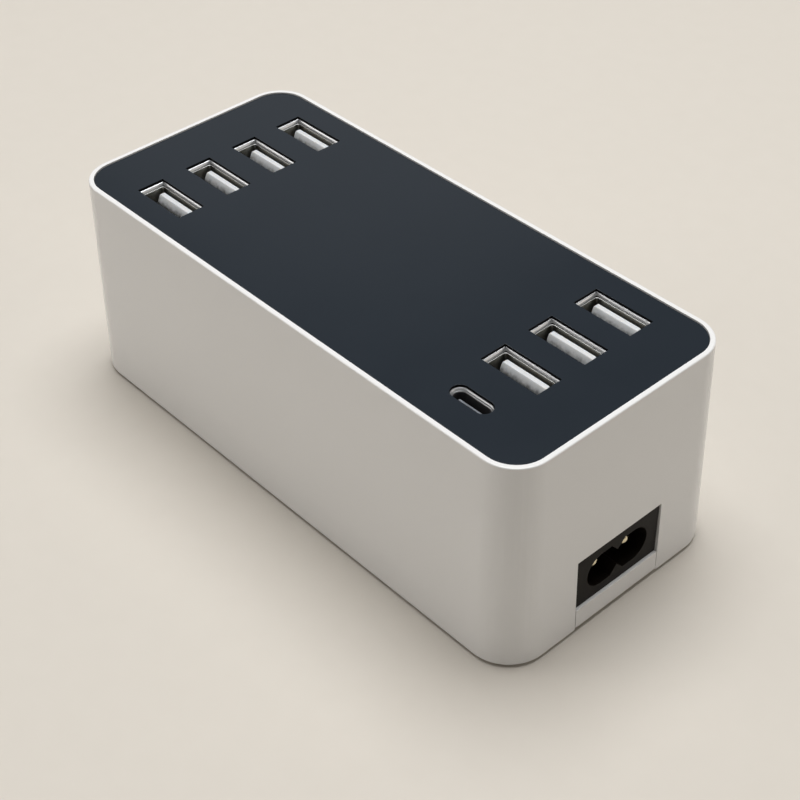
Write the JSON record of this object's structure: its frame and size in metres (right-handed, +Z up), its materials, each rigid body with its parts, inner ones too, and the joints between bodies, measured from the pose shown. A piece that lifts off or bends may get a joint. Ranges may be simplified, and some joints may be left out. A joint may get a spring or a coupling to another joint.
{
  "type": "multi port usb desktop charger",
  "caption": "Free-standing white box charger with a dark top panel, two rows of upright sockets and a figure-eight mains inlet on one end.",
  "frame": {"origin": "on the desk, under the middle of the case", "axes": "+X along the case towards the mains inlet, +Z up"},
  "size_m": [0.1308, 0.0586, 0.0483],
  "materials": {
    "white_case": "moulded gloss",
    "dark_panel": "fine matte",
    "rubber": "soft matte",
    "screw_steel": "plain",
    "inlet_black": "moulded satin",
    "inlet_pin": "polished",
    "socket_metal": "drawn, plated",
    "tongue_white": "moulded",
    "tongue_black": "moulded",
    "contact_gold": "plated",
    "circuit_board": "lacquered",
    "clear_sheet": "thin sheet",
    "black_epoxy": "moulded",
    "film_box": "moulded",
    "disc_blue": "dipped",
    "can_sleeve": "shrink sleeve",
    "ferrite": "sintered",
    "copper_wire": "enamelled",
    "coil_tape": "tape",
    "bobbin_black": "moulded",
    "sink_aluminium": "plain"
  },
  "bodies": {
    "root": {"ac_inlet": "inlet_black", "bottom_cover": "white_case", "bridge_rectifier": "black_epoxy", "bulk_capacitor_left": "can_sleeve", "bulk_capacitor_right": "can_sleeve", "charge_controller_far": "black_epoxy", "charge_controller_near": "black_epoxy", "cover_screws": "screw_steel", "filter_choke_core": "ferrite", "filter_choke_windings": "copper_wire", "fuse": "black_epoxy", "inlet_pin_left": "inlet_pin", "inlet_pin_right": "inlet_pin", "insulating_sheet": "clear_sheet", "main_board": "circuit_board", "optocoupler": "black_epoxy", "outer_shell": "white_case", "output_capacitor_1": "can_sleeve", "output_capacitor_2": "can_sleeve", "output_capacitor_3": "can_sleeve", "output_choke": "ferrite", "output_rectifier": "black_epoxy", "port_board": "circuit_board", "power_switch": "black_epoxy", "primary_heat_sink": "sink_aluminium", "riser_board": "circuit_board", "rubber_foot_back_left": "rubber", "rubber_foot_back_right": "rubber", "rubber_foot_front_left": "rubber", "rubber_foot_front_right": "rubber", "secondary_heat_sink": "sink_aluminium", "top_panel": "dark_panel", "transformer_bobbin": "bobbin_black", "transformer_core": "ferrite", "transformer_winding": "coil_tape", "usb_a_contacts_far": "contact_gold", "usb_a_contacts_near": "contact_gold", "usb_a_insulator_1": "tongue_white", "usb_a_insulator_2": "tongue_white", "usb_a_insulator_3": "tongue_white", "usb_a_insulator_4": "tongue_white", "usb_a_insulator_5": "tongue_white", "usb_a_insulator_6": "tongue_white", "usb_a_insulator_7": "tongue_white", "usb_a_shell_1": "socket_metal", "usb_a_shell_2": "socket_metal", "usb_a_shell_3": "socket_metal", "usb_a_shell_4": "socket_metal", "usb_a_shell_5": "socket_metal", "usb_a_shell_6": "socket_metal", "usb_a_shell_7": "socket_metal", "usb_c_contacts": "contact_gold", "usb_c_insulator": "tongue_black", "usb_c_shell": "socket_metal", "x_capacitor": "film_box", "y_capacitor": "disc_blue"}
  },
  "joints": []
}
